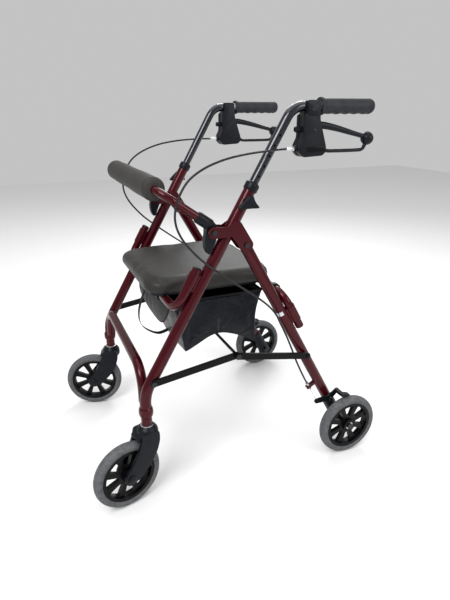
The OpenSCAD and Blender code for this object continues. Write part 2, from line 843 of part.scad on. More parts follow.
front_leg();  // front_leg_left
right_side() front_leg();  // front_leg_right
front_cross_tube();
frame_brackets();
front_seat_bow();
front_bow_caps();
tube_collars();
frame_bolts();
stem_bushings();
pouch();
front_pocket();
pull_strap();
brake_cable();  // brake_cable_left
right_side() brake_cable();  // brake_cable_right
handle_tube();  // handle_tube_left
right_side() handle_tube();  // handle_tube_right
grip();  // grip_left
right_side() grip();  // grip_right
brake_housing();  // brake_housing_left
right_side() brake_housing();  // brake_housing_right
brake_fittings();  // brake_fittings_left
right_side() brake_fittings();  // brake_fittings_right
brake_lever();  // brake_lever_left
right_side() brake_lever();  // brake_lever_right
wing_knob();  // wing_knob_left
right_side() wing_knob();  // wing_knob_right
rear_leg();  // rear_leg_left
right_side() rear_leg();  // rear_leg_right
rear_seat_bow();
rear_bow_caps();
rear_bow_pad();
axle_blocks();
rear_axles();
cable_fittings();
brake_arm();  // brake_arm_left
right_side() brake_arm();  // brake_arm_right
color(charcoal) at_rear_wheel() wheel_rim();  // rear_rim_left
right_side() color(charcoal) at_rear_wheel() wheel_rim();  // rear_rim_right
color(tyre_grey) at_rear_wheel() wheel_tyre();  // rear_tyre_left
right_side() color(tyre_grey) at_rear_wheel() wheel_tyre();  // rear_tyre_right
color(steel) at_rear_wheel() wheel_bearings(10);  // rear_bearings_left
right_side() color(steel) at_rear_wheel() wheel_bearings(10);  // rear_bearings_right
caster_fork();  // caster_fork_left
right_side() caster_fork();  // caster_fork_right
caster_pins();  // caster_pins_left
right_side() caster_pins();  // caster_pins_right
color(charcoal) at_front_wheel() wheel_rim();  // front_rim_left
right_side() color(charcoal) at_front_wheel() wheel_rim();  // front_rim_right
color(tyre_grey) at_front_wheel() wheel_tyre();  // front_tyre_left
right_side() color(tyre_grey) at_front_wheel() wheel_tyre();  // front_tyre_right
color(steel) at_front_wheel() wheel_bearings(8);  // front_bearings_left
right_side() color(steel) at_front_wheel() wheel_bearings(8);  // front_bearings_right
seat_board();
seat_cushion();
backrest_tube();
backrest_foam();
backrest_sockets();
spreader_front_links();
spreader_rear_links();
cross_rod();
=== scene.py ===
import json
import math

import bmesh
import bpy
import numpy as np
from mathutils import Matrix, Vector


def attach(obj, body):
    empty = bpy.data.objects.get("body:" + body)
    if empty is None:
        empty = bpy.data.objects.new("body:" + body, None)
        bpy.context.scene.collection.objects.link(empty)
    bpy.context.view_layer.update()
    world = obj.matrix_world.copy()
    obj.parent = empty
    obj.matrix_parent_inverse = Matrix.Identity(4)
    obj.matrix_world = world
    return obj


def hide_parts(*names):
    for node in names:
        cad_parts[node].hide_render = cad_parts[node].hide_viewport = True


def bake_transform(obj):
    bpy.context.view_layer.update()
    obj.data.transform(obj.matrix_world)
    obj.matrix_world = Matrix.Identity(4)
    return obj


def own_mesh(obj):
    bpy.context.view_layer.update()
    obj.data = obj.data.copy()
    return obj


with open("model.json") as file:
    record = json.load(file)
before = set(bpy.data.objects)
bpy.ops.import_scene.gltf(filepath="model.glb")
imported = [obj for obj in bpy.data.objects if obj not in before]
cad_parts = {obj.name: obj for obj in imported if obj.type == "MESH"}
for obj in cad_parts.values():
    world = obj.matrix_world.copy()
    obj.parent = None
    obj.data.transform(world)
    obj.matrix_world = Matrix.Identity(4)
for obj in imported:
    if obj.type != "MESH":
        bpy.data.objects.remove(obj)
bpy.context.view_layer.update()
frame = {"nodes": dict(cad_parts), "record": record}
MM = 0.001

# Positions the pieces share, in millimetres
SIDE_X = 237.0  # middle plane of each side frame
LEG_FOOT = (SIDE_X, -255, 296)  # top of the caster stem, on the front leg's axis
GRIP_Z = 945  # axis of the grips
HOUSING_BOLT = (172, 893)  # y and z of the brake lever's pin
BALL_CENTRE = (SIDE_X, 330, 873)  # ball at the end of the brake lever
KNOB_CENTRE = (2, 741.1)  # y and z of the wing knob's axis
FRONT_BOW = (-168.9, 500)  # y and z of the front seat bow's axis
REAR_BOW = (116.6, 500)  # y and z of the rear seat bow's axis
BACK_BOLT = (SIDE_X, -77, 680)  # pivot of the backrest
BACK_REACH = 154.0  # from the pivot to the foam's axis, along the backrest arm
BACK_OFF = 10.0  # the arm's offset from the pivot
BACK_RISE = 35  # degrees the backrest arm rises
FOAM_HALF = 208.0
BOARD_TOP = 518.8
HEM_Z = 486  # top edge of the pouch and the pocket
POUCH_HALF = 151.0
CLOTH_THICKNESS = 0.0014  # metres
WHEEL_AXLE = (-63.5, 89)  # caster axle behind the stem, and its height
CASTER_TURN = math.radians(15)


# ---------- Mesh helpers, in millimetres ----------


def mesh_object(name, verts, faces, sharp=40.0):
    me = bpy.data.meshes.new(name)
    me.from_pydata([tuple(float(c) * MM for c in v) for v in verts], [], [tuple(f) for f in faces])
    me.validate()
    bm = bmesh.new()
    bm.from_mesh(me)
    bmesh.ops.recalc_face_normals(bm, faces=bm.faces)
    bm.to_mesh(me)
    bm.free()
    me.shade_smooth()
    me.set_sharp_from_angle(angle=math.radians(sharp))
    ob = bpy.data.objects.new(name, me)
    bpy.context.scene.collection.objects.link(ob)
    return ob


def mirrored(verts):
    return [(-v[0], v[1], v[2]) for v in verts]


def catmull(points, steps):
    """Smooth curve through points, with this many steps between each two."""
    p = [np.array(q, float) for q in points]
    out = []
    for i in range(len(p) - 1):
        a, b, c, d = p[max(i - 1, 0)], p[i], p[i + 1], p[min(i + 2, len(p) - 1)]
        for j in range(steps):
            t = j / steps
            square = (2 * a - 5 * b + 4 * c - d) * t**2
            cube = (3 * b - a - 3 * c + d) * t**3
            out.append(0.5 * (2 * b + (c - a) * t + square + cube))
    out.append(p[-1])
    return out


def sweep(points, radius, sides=16, closed=False, flat=None, start_up=(0.3, 0.1, 1.0)):
    """Round or elliptical tube along points. radius is a number, a (wide, high) pair, or a list of them."""
    p = [np.array(q, float) for q in points]
    n = len(p)
    tangents = []
    for i in range(n):
        a = p[i - 1] if i or closed else p[0]
        b = p[(i + 1) % n] if i < n - 1 or closed else p[-1]
        t = b - a
        tangents.append(t / np.linalg.norm(t))
    up = np.array(flat if flat is not None else start_up, float)
    verts = []
    for i in range(n):
        t = tangents[i]
        side = np.cross(t, up)
        side /= np.linalg.norm(side)
        top = np.cross(side, t)
        if flat is None:
            up = top
        r = radius[i] if isinstance(radius, list) else radius
        w, h = r if isinstance(r, tuple) else (r, r)
        for k in range(sides):
            a = 2 * math.pi * k / sides
            verts.append(p[i] + w * math.cos(a) * side + h * math.sin(a) * top)
    faces = []
    for i in range(n if closed else n - 1):
        j = (i + 1) % n
        for k in range(sides):
            m = (k + 1) % sides
            faces.append((i * sides + k, j * sides + k, j * sides + m, i * sides + m))
    if not closed:
        faces.append(tuple(range(sides - 1, -1, -1)))
        faces.append(tuple((n - 1) * sides + k for k in range(sides)))
    return verts, faces


def merge(*parts):
    verts, faces = [], []
    for v, f in parts:
        base = len(verts)
        verts += list(v)
        faces += [tuple(i + base for i in face) for face in f]
    return verts, faces


def lathe(profile, origin, axis, sides=48, shape=None):
    """Surface of revolution. profile is (radius, height) along axis; shape(height, angle) scales it."""
    axis = np.array(axis, float) / np.linalg.norm(axis)
    ref = np.array((0, 0, 1.0)) if abs(axis[2]) < 0.9 else np.array((0, 1.0, 0))
    e1 = np.cross(ref, axis)
    e1 /= np.linalg.norm(e1)
    e2 = np.cross(axis, e1)
    o = np.array(origin, float)
    verts = []
    for r, h in profile:
        for k in range(sides):
            a = 2 * math.pi * k / sides
            s = shape(h, a) if shape else 1.0
            verts.append(o + h * axis + max(r, 0.01) * s * (math.cos(a) * e1 + math.sin(a) * e2))
    faces = []
    for i in range(len(profile) - 1):
        for k in range(sides):
            m = (k + 1) % sides
            faces.append((i * sides + k, (i + 1) * sides + k, (i + 1) * sides + m, i * sides + m))
    faces.append(tuple(range(sides - 1, -1, -1)))
    faces.append(tuple((len(profile) - 1) * sides + k for k in range(sides)))
    return verts, faces


def plate(outline, x0, x1, bevel, segments=3):
    """Flat plate with rounded edges: outline is (y, z) points, thick from x0 to x1."""
    bm = bmesh.new()
    low = [bm.verts.new((x0, y, z)) for y, z in outline]
    high = [bm.verts.new((x1, y, z)) for y, z in outline]
    n = len(outline)
    bm.faces.new(low[::-1])
    bm.faces.new(high)
    for i in range(n):
        j = (i + 1) % n
        bm.faces.new((low[i], low[j], high[j], high[i]))
    bmesh.ops.recalc_face_normals(bm, faces=bm.faces)
    sharp = [e for e in bm.edges if e.calc_face_angle(0) > math.radians(20)]
    bmesh.ops.bevel(
        bm, geom=sharp, offset=bevel, segments=segments, profile=0.5, affect="EDGES", clamp_overlap=True
    )
    bm.verts.ensure_lookup_table()
    verts = [tuple(v.co) for v in bm.verts]
    index = {v: i for i, v in enumerate(bm.verts)}
    faces = [tuple(index[v] for v in f.verts) for f in bm.faces]
    bm.free()
    return verts, faces


def arc(c, r, a0, a1, n=8):
    angles = [math.radians(a0 + (a1 - a0) * i / n) for i in range(n + 1)]
    return [(c[0] + r * math.cos(a), c[1] + r * math.sin(a)) for a in angles]


def rounded(outline, r, n=5):
    """Rounds the corners of a closed (y, z) outline."""
    out = []
    m = len(outline)
    for i in range(m):
        a, b, c = (np.array(outline[(i + k) % m], float) for k in (-1, 0, 1))
        u, w = (a - b), (c - b)
        lu, lw = np.linalg.norm(u), np.linalg.norm(w)
        d = min(r, lu * 0.45, lw * 0.45)
        p0, p1 = b + u / lu * d, b + w / lw * d
        for k in range(n + 1):
            t = k / n
            out.append(tuple((1 - t) ** 2 * p0 + 2 * t * (1 - t) * b + t**2 * p1))
    return out


# ---------- Materials ----------


def material(name, base, rough, metallic=0.0, coat=0.0, vary=0.15, scale=30.0, rough_vary=0.08,
             grain=None, grain_scale=900.0, grain_depth=0.0004, kind="noise", sheen=0.0, specular=0.2,
             crease=0.0):
    """Procedural finish: colour and roughness vary with noise, grain is a fine bump, crease a broad one."""
    m = bpy.data.materials.new(name)
    m.use_nodes = True
    nt = m.node_tree
    b = nt.nodes["Principled BSDF"]
    co = nt.nodes.new("ShaderNodeTexCoord")
    noise = nt.nodes.new("ShaderNodeTexNoise")
    noise.inputs["Scale"].default_value = scale
    noise.inputs["Detail"].default_value = 6.0
    nt.links.new(co.outputs["Object"], noise.inputs["Vector"])
    ramp = nt.nodes.new("ShaderNodeValToRGB")
    ramp.color_ramp.elements[0].position = 0.3
    ramp.color_ramp.elements[1].position = 0.7
    ramp.color_ramp.elements[0].color = (*[c * (1 - vary) for c in base], 1)
    ramp.color_ramp.elements[1].color = (*[min(c * (1 + vary), 1) for c in base], 1)
    nt.links.new(noise.outputs["Fac"], ramp.inputs["Fac"])
    nt.links.new(ramp.outputs["Color"], b.inputs["Base Color"])
    remap = nt.nodes.new("ShaderNodeMapRange")
    remap.inputs["To Min"].default_value = max(rough - rough_vary, 0.02)
    remap.inputs["To Max"].default_value = min(rough + rough_vary, 1.0)
    fine = nt.nodes.new("ShaderNodeTexNoise")
    fine.inputs["Scale"].default_value = scale * 6
    fine.inputs["Detail"].default_value = 4.0
    nt.links.new(co.outputs["Object"], fine.inputs["Vector"])
    nt.links.new(fine.outputs["Fac"], remap.inputs["Value"])
    nt.links.new(remap.outputs["Result"], b.inputs["Roughness"])
    b.inputs["Metallic"].default_value = metallic
    b.inputs["Coat Weight"].default_value = coat
    b.inputs["Coat Roughness"].default_value = 0.08
    b.inputs["Specular IOR Level"].default_value = specular
    b.inputs["Sheen Weight"].default_value = sheen
    b.inputs["Sheen Roughness"].default_value = 0.5
    if grain:
        bump = nt.nodes.new("ShaderNodeBump")
        bump.inputs["Strength"].default_value = grain
        bump.inputs["Distance"].default_value = grain_depth
        if kind == "leather":
            t = nt.nodes.new("ShaderNodeTexVoronoi")
            t.feature = "DISTANCE_TO_EDGE"
            t.inputs["Scale"].default_value = grain_scale
            out = t.outputs["Distance"]
        elif kind == "weave":
            t = nt.nodes.new("ShaderNodeTexWave")
            t.wave_type = "BANDS"
            t.bands_direction = "DIAGONAL"
            t.inputs["Scale"].default_value = grain_scale
            t.inputs["Distortion"].default_value = 0.6
            out = t.outputs["Fac"]
        else:
            t = nt.nodes.new("ShaderNodeTexNoise")
            t.inputs["Scale"].default_value = grain_scale
            t.inputs["Detail"].default_value = 5.0
            out = t.outputs["Fac"]
        nt.links.new(co.outputs["Object"], t.inputs["Vector"])
        nt.links.new(out, bump.inputs["Height"])
        nt.links.new(bump.outputs["Normal"], b.inputs["Normal"])
        if crease:
            broad = nt.nodes.new("ShaderNodeTexNoise")
            broad.inputs["Scale"].default_value = 26.0
            broad.inputs["Detail"].default_value = 2.0
            broad.inputs["Distortion"].default_value = 1.4
            nt.links.new(co.outputs["Object"], broad.inputs["Vector"])
            fold = nt.nodes.new("ShaderNodeBump")
            fold.inputs["Strength"].default_value = crease
            fold.inputs["Distance"].default_value = 0.006
            nt.links.new(broad.outputs["Fac"], fold.inputs["Height"])
            nt.links.new(fold.outputs["Normal"], bump.inputs["Normal"])
    return m


RED = material(
    "burgundy_paint", (0.046, 0.0005, 0.0036), 0.24, metallic=0.30, coat=0.24, specular=0.12, vary=0.12,
    scale=12, rough_vary=0.04, grain=0.05, grain_scale=2200, grain_depth=0.0002,
)
HANDLE = material(
    "gloss_black_tube", (0.012, 0.014, 0.020), 0.16, metallic=0.5, coat=0.7, vary=0.2, scale=14,
    rough_vary=0.03,
)
CHARCOAL = material(
    "charcoal_plastic", (0.0042, 0.0052, 0.0078), 0.38, specular=0.16, vary=0.15, scale=40, grain=0.15,
    grain_scale=1400, grain_depth=0.0003,
)
GRIP = material(
    "grip_rubber", (0.018, 0.0195, 0.023), 0.55, vary=0.2, scale=60, grain=0.3, grain_scale=1200,
    grain_depth=0.0005,
)
STEEL = material(
    "zinc_steel", (0.55, 0.56, 0.58), 0.28, metallic=1.0, vary=0.12, scale=60, grain=0.06, grain_scale=900,
)
DARK_STEEL = material("black_steel", (0.02, 0.02, 0.022), 0.30, metallic=0.6, coat=0.3, vary=0.2, scale=30)
RIM = material(
    "rim_plastic", (0.0022, 0.0022, 0.0028), 0.34, specular=0.12, vary=0.2, scale=40, grain=0.1,
    grain_scale=1200,
)
TYRE = material(
    "grey_tyre", (0.088, 0.091, 0.096), 0.66, vary=0.28, scale=120, rough_vary=0.1, grain=0.35, grain_scale=700,
    grain_depth=0.0006,
)
VINYL = material(
    "seat_vinyl", (0.0225, 0.0215, 0.0205), 0.42, vary=0.12, scale=16, grain=0.25, grain_scale=620,
    grain_depth=0.0004, kind="leather",
)
FOAM = material(
    "backrest_foam", (0.028, 0.0265, 0.025), 0.60, vary=0.15, scale=50, grain=0.35, grain_scale=1500,
    grain_depth=0.0005,
)
CABLE = material("cable_jacket", (0.014, 0.014, 0.017), 0.35, vary=0.15, scale=60)
NYLON = material(
    "pouch_nylon", (0.0020, 0.0030, 0.0062), 0.34, specular=0.16, vary=0.2, scale=20, grain=0.25,
    grain_scale=300, grain_depth=0.0003, kind="weave", sheen=0.10, crease=0.75,
)
POCKET = material(
    "pocket_cloth", (0.020, 0.020, 0.020), 0.62, vary=0.2, scale=22, grain=0.25, grain_scale=320,
    grain_depth=0.0003, kind="weave", sheen=0.1, crease=0.4,
)
WEB = material(
    "strap_webbing", (0.008, 0.008, 0.009), 0.70, vary=0.25, scale=60, grain=0.5, grain_scale=420,
    grain_depth=0.0005, kind="weave",
)

BY_SLOT = {
    "frame_red": RED, "handle_black": HANDLE, "grip_rubber": GRIP, "charcoal": CHARCOAL, "steel": STEEL,
    "steel_dark": DARK_STEEL, "cable_jacket": CABLE, "rim_black": RIM, "tyre": TYRE, "pouch_cloth": NYLON,
    "pocket_cloth": POCKET, "webbing": WEB, "vinyl": VINYL, "foam": FOAM,
}
slot_of = {s["node"]: s["material_slot"] for s in frame["record"]["subparts"]}
for node, ob in frame["nodes"].items():
    ob.data.materials.clear()
    ob.data.materials.append(BY_SLOT[slot_of[node]])


def add(name, geometry, mat, body, nodes=(), sharp=40.0):
    """One visible piece that rides on body and stands for nodes."""
    ob = mesh_object(name, geometry[0], geometry[1], sharp)
    ob.data.materials.append(mat)
    if body:
        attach(ob, body)
    if nodes:
        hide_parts(*([nodes] if isinstance(nodes, str) else nodes))
    return ob


def flip(geometry, side):
    """The left side's geometry, mirrored for the right side."""
    return geometry if side == "left" else (mirrored(geometry[0]), geometry[1])


SIDES = ("left", "right")


# ---------- Cables ----------

# Left cable from the brake housing, forward in a loop, and down to the adjuster on the rear leg
ROUTE = [
    (237, 105.5, 854), (243, 89, 854), (254, 58, 853), (260, 5, 849), (262, -50, 840), (262, -98, 824),
    (262, -134, 802), (262, -155, 775), (262, -167, 745), (262, -170, 718), (262, -163, 690),
    (262, -145, 660), (262, -113, 624), (262, -76, 593), (262, -28, 556), (260, 30, 513), (256, 68, 480),
    (252, 91, 452), (248, 106, 425), (244, 126, 388), (241, 146, 346), (239, 163, 306), (238, 181, 268),
    (237.3, 192, 246.5), (237, 199.9, 231.3), (237, 205.5, 221.5),
]
WIRE = [(237.4, 220.4, 194.4), (252.5, 230.5, 167)]
STEPS_PER_POINT = 6
CUT_POINT = 10  # the route is cut at this point into an upper and a lower part
JACKET_R = 2.5
for side in SIDES:
    smooth = catmull(ROUTE, STEPS_PER_POINT)
    cut = CUT_POINT * STEPS_PER_POINT
    upper = flip(sweep(smooth[: cut + 1], JACKET_R, 16), side)
    lower = flip(sweep(smooth[cut:], JACKET_R, 16), side)
    wire = flip(sweep(WIRE, 0.8, 10), side)
    ob = add(f"cable_upper_{side}", upper, CABLE, None, f"brake_cable_{side}")
    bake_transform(ob)
    ob = add(f"cable_lower_{side}", lower, CABLE, None, None)
    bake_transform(ob)
    add(f"brake_wire_{side}", wire, STEEL, "rear_frame", None)


# ---------- Grips ----------


def grip_shape(h, a):
    """Finger waves along the underside of the grip."""
    under = max(0.0, -math.sin(a)) ** 1.5
    wave = 0.5 + 0.5 * math.cos(2 * math.pi * (h - 34) / 25)
    inside = 1.0 if 26 < h < 128 else 0.0
    return 1.0 - 0.10 * under * wave * inside + 0.04 * under * inside


flange = [(11.3, 0), (18.6, 0), (19.6, 1.2), (19.6, 6), (18.8, 7.6), (17.2, 9), (16.6, 13), (16.8, 20)]
hand = [(17.0, h) for h in range(26, 130, 3)]
end_cap = [(17.0, 131), (16.2, 133), (17.4, 135), (17.4, 138), (16.2, 140), (15.6, 143), (13.6, 146),
           (9, 147.6), (4, 148), (0.2, 148)]
for side in SIDES:
    g = lathe(flange + hand + end_cap, (SIDE_X, 188, GRIP_Z), (0, 1, 0), 48, grip_shape)
    add(f"grip_rubber_{side}", flip(g, side), GRIP, f"handle_{side}", f"grip_{side}")
    band = lathe([(11.2, 0), (12.6, 0), (12.6, 4.2), (11.2, 4.2)], (SIDE_X, 183.5, GRIP_Z), (0, 1, 0))
    add(f"grip_band_{side}", flip(band, side), STEEL, f"handle_{side}", None)


# ---------- Brake housings ----------

housing = rounded([(148, 958), (177, 958), (182, 952), (183, 918), (187, 905), (203, 858), (203, 846),
                   (194, 838), (144, 835.5), (132, 847), (132, 861), (141, 878), (141, 926), (148, 931)], 5, 4)
core = rounded([(148, 957), (160, 957), (160, 838), (144, 837), (133, 848), (133, 861), (142, 878), (142, 926),
                (148, 931)], 4, 3)
inset = rounded([(151, 859), (199, 861), (200, 848), (152, 845)], 2.5, 3)
clamp = rounded([(149, 950), (176, 950), (177, 925), (150, 925)], 3, 3)
cable_boss = [(6.6, 0), (6.6, 14.5), (6.0, 15.5), (3.2, 15.6), (3.0, 14.4), (0.2, 14.4)]
for side in SIDES:
    body = f"handle_{side}"
    parts = [
        plate(housing, 219.5, 230.5, 2.2), plate(housing, 243.5, 254.5, 2.8), plate(core, 229, 245, 0.8),
        lathe(cable_boss, (SIDE_X, 143, 896), (0, -1, 0), 24),
        lathe([(7.4, 0), (7.4, 9), (6.6, 10), (4.6, 10.2)], (SIDE_X, 138, 854), (0, -1, 0), 24),
    ]
    add(f"brake_body_{side}", flip(merge(*parts), side), CHARCOAL, body, f"brake_housing_{side}")
    add(f"brake_inset_{side}", flip(plate(inset, 253.6, 255.1, 0.5), side), RIM, body, None)
    add(f"brake_clamp_{side}", flip(plate(clamp, 253.9, 256.0, 0.9), side), CHARCOAL, body, None)
    screws = merge(
        lathe([(4.6, 0), (4.6, 1.6), (3.8, 2.4), (0.2, 2.4)], (254, *HOUSING_BOLT), (1, 0, 0), 24),
        lathe([(3.2, 0), (3.2, 1.4), (2.6, 2.0), (0.2, 2.0)], (255.5, 163, 937), (1, 0, 0), 20),
    )
    add(f"brake_screws_{side}", flip(screws, side), DARK_STEEL, body, None)


# ---------- Brake levers ----------

top_bar = catmull([(SIDE_X, 170, 893), (SIDE_X, 183, 901), (SIDE_X, 200, 904), (SIDE_X, 240, 897),
                   (SIDE_X, 285, 886), (SIDE_X, 318, 878), (SIDE_X, 330, 874)], 5)
top_size = [(5.2, 8.6 - 3.0 * min(1, max(0, (p[1] - 190) / 110))) for p in top_bar]
low_bar = catmull([(SIDE_X, 180, 892), (SIDE_X, 195, 876), (SIDE_X, 204, 857), (SIDE_X, 214, 848),
                   (SIDE_X, 240, 846.5), (SIDE_X, 300, 846.5), (SIDE_X, 317, 848.5), (SIDE_X, 324, 857),
                   (SIDE_X, 328, 870)], 6)
low_size = [(4.3, 4.3 + 2.6 * max(0, 1 - abs(p[1] - 197) / 16)) for p in low_bar]
BALL_R = 15.5
ball = [(BALL_R * math.sin(math.radians(a)), -BALL_R * math.cos(math.radians(a))) for a in range(0, 181, 10)]
for side in SIDES:
    parts = [
        sweep(top_bar, top_size, 18, flat=(0, 0, 1)), sweep(low_bar, low_size, 14),
        lathe([(9.5, -5.2), (10.5, -4.4), (10.5, 4.4), (9.5, 5.2)], (SIDE_X, *HOUSING_BOLT), (1, 0, 0), 32),
        lathe(ball, BALL_CENTRE, (0, 1, 0), 32),
        lathe([(BALL_R + 0.2, -0.8), (BALL_R + 0.5, 0), (BALL_R + 0.2, 0.8)], BALL_CENTRE, (1, 0, 0), 32),
    ]
    loop = flip(merge(*parts), side)
    add(f"lever_loop_{side}", loop, CHARCOAL, f"lever_{side}", f"brake_lever_{side}")


# ---------- Height knobs ----------

knob_outline = rounded([(11, 763), (16.5, 745), (31, 730), (3, 731), (-25, 730), (-8, 747)], 9, 6)
dish = rounded([(9, 752), (13, 743), (20, 736), (3, 737), (-14, 736), (-4, 745)], 6, 5)
for side in SIDES:
    parts = [
        plate(knob_outline, 254.5, 268.5, 3.2, 4), plate(dish, 267.5, 270.0, 1.0),
        lathe([(9.5, 0), (9.5, 3.2), (13, 4)], (251.7, *KNOB_CENTRE), (1, 0, 0), 32),
        lathe([(3.0, 0), (3.0, 6)], (249.3, *KNOB_CENTRE), (1, 0, 0), 16),
    ]
    knob = flip(merge(*parts), side)
    add(f"knob_{side}_grip", knob, CHARCOAL, f"knob_{side}", f"wing_knob_{side}")


# ---------- Collars ----------

LEG_LEAN = math.radians(30)
LEG_LENGTH = 545
leg_axis = np.array((0, math.sin(LEG_LEAN), math.cos(LEG_LEAN)))
leg_top = np.array(LEG_FOOT) + LEG_LENGTH * leg_axis
collar = [(14.4, -3), (16.2, -2), (16.8, 0), (16.8, 12), (16.2, 14.5), (14.0, 16.5), (12.4, 18), (11.4, 18.4)]
collars = [flip(lathe(collar, leg_top, leg_axis, 48), side) for side in SIDES]
add("collar_rings", merge(*collars), CHARCOAL, "front_frame", "tube_collars")


# ---------- Backrest ----------

rise = math.radians(BACK_RISE)
arm = np.array((0, -math.cos(rise), math.sin(rise)))
off = np.array((0, math.sin(rise), math.cos(rise)))
bolt = np.array(BACK_BOLT)
socket = [(9, 8), (12.0, 9.5), (13.5, 13), (13.5, 46), (12.6, 49), (10.2, 50.5), (9.6, 50.6)]
fin = rounded([(-63, 684), (-68, 697), (-82, 709), (-99, 705), (-92, 686), (-97, 662), (-95, 641), (-89, 629),
               (-81, 631), (-74, 650), (-64, 674)], 7, 5)
sockets = []
for side in SIDES:
    parts = [
        lathe(socket, bolt + BACK_OFF * off, arm, 40),
        plate(fin, 227.5, 246.5, 3.4, 4),
        lathe([(10.8, -13.9), (11, -13.4), (11, 13.4), (10.8, 13.9)], bolt, (1, 0, 0), 32),
    ]
    sockets.append(flip(merge(*parts), side))
add("backrest_joints", merge(*sockets), CHARCOAL, "backrest", "backrest_sockets")

# Foam sleeve: round shoulders at both ends, and a slightly uneven girth between them
bar = bolt + BACK_REACH * arm + BACK_OFF * off
quarter = [math.radians(90 * i / 9) for i in range(10)]
foam_profile = [(9.6 + 17.2 * math.sin(a), -FOAM_HALF + 12 * (1 - math.cos(a))) for a in quarter]
for h in np.linspace(-FOAM_HALF + 14, FOAM_HALF - 14, 60):
    foam_profile.append((26.8 - 0.5 * math.cos(h / 31.0) * math.exp(-((h / 240) ** 2)), float(h)))
foam_profile += [(9.6 + 17.2 * math.sin(a), FOAM_HALF - 12 * (1 - math.cos(a))) for a in reversed(quarter)]
roll = lathe(foam_profile, (0, bar[1], bar[2]), (1, 0, 0), 64)
foam = add("backrest_roll", roll, FOAM, "backrest", "backrest_foam", 60)


# ---------- Seat cushion ----------


def rounded_rect(hw, y0, y1, r, n=8):
    """Outline in x and y, with half width hw and corner radius r."""
    out = []
    centres = ((hw - r, y1 - r, 0), (-hw + r, y1 - r, 90), (-hw + r, y0 + r, 180), (hw - r, y0 + r, 270))
    for cx, cy, a0 in centres:
        for i in range(n + 1):
            a = math.radians(a0 + 90 * i / n)
            out.append((cx + r * math.cos(a), cy + r * math.sin(a)))
    return out


def slab(outline_low, outline_high, z0, z1):
    n = len(outline_low)
    verts = [(x, y, z0) for x, y in outline_low] + [(x, y, z1) for x, y in outline_high]
    faces = [tuple(range(n - 1, -1, -1)), tuple(range(n, 2 * n))]
    faces += [(i, (i + 1) % n, n + (i + 1) % n, n + i) for i in range(n)]
    return verts, faces


def applied(ob):
    """Bakes the object's modifiers into its mesh."""
    me = bpy.data.meshes.new_from_object(ob.evaluated_get(bpy.context.evaluated_depsgraph_get()))
    ob.modifiers.clear()
    ob.data = me


def puffed(ob, cap_mm, floor_mm, pressure=4.0):
    """Inflates a closed mesh as cloth, and keeps its underside flat on the board."""
    mod = ob.modifiers.new("remesh", "REMESH")
    mod.mode = "VOXEL"
    mod.voxel_size = 0.005
    applied(ob)
    count = len(ob.data.vertices)
    before = np.empty(count * 3)
    ob.data.vertices.foreach_get("co", before)
    cloth = ob.modifiers.new("cloth", "CLOTH")
    cloth.settings.use_pressure = True
    cloth.settings.uniform_pressure_force = pressure
    cloth.settings.effector_weights.gravity = 0.0
    cloth.settings.quality = 5
    scene = bpy.context.scene
    for f in range(1, 21):
        scene.frame_set(f)
    applied(ob)
    scene.frame_set(1)
    after = np.empty(count * 3)
    ob.data.vertices.foreach_get("co", after)
    before, after = before.reshape(-1, 3), after.reshape(-1, 3)
    move = after - before
    length = np.linalg.norm(move, axis=1, keepdims=True)
    move *= np.minimum(1.0, cap_mm * MM / np.maximum(length, 1e-9))
    move[:, :2] *= 0.3
    out = before + move
    out[:, 2] = np.maximum(out[:, 2], floor_mm * MM)
    ob.data.vertices.foreach_set("co", out.reshape(-1))
    ob.data.update()


pad = slab(rounded_rect(173, -219, 128, 50), rounded_rect(170, -216, 125, 50), BOARD_TOP, 545.0)
cushion = mesh_object("seat_pad", *pad)
puffed(cushion, 11, 517.9, 3.0)
soften = cushion.modifiers.new("soften", "SMOOTH")
soften.factor = 0.5
soften.iterations = 14
applied(cushion)
sub = cushion.modifiers.new("smooth", "SUBSURF")
sub.levels = 1
sub.render_levels = 1
applied(cushion)
cushion.data.shade_smooth()
cushion.data.materials.clear()
cushion.data.materials.append(VINYL)
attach(cushion, "seat")
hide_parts("seat_cushion")
piping = [(x, y, 519.4) for x, y in rounded_rect(164, -210, 119, 45, 10)]
add("seat_piping", sweep(piping, 1.9, 12, closed=True, flat=(0, 0, 1)), VINYL, "seat", None)


# ---------- Pouch, pocket and strap ----------

# Section of the pouch from the front hem down, over the cross rod and up to the rear hem, as y and z
side_curve = catmull([(-152, HEM_Z), (-141, 450), (-131, 405), (-124, 352), (-117, 344), (-90, 357), (-58, 372),
                      (-24, 379), (12, 372), (50, 355), (79, 338), (86, 342), (82, 390), (86, 438),
                      (100, HEM_Z)], 3)
STATIONS = 41
END_ROWS = 8
ROD_CUT = -0.025  # metres: the pouch is cut in this plane, just above the cross rod


def pouch_point(y, z, x):
    """The section at x, with sag, ripples and a slight swell."""
    u = x / POUCH_HALF
    deep = min(1.0, max(0.0, (HEM_Z - z) / 130))
    sag = 7 * (1 - u * u) * deep * (0.35 if -45 < y < 12 else 1.0)
    ripple = 2.2 * deep * math.sin(x / 17 + y / 29) + 1.4 * deep * math.sin(x / 9.1 - y / 13 + 1.3)
    swell = 5 * math.sin(math.pi * min(1.0, deep)) * (1 - u**4)
    outward = -1 if y < -20 else 1
    return (x, y + outward * (swell + 0.5 * ripple), z - sag + 0.35 * ripple)


def strip(a, b):
    """Faces between two rows of vertex indices."""
    return [(a[k], b[k], b[k + 1], a[k + 1]) for k in range(len(a) - 1)]


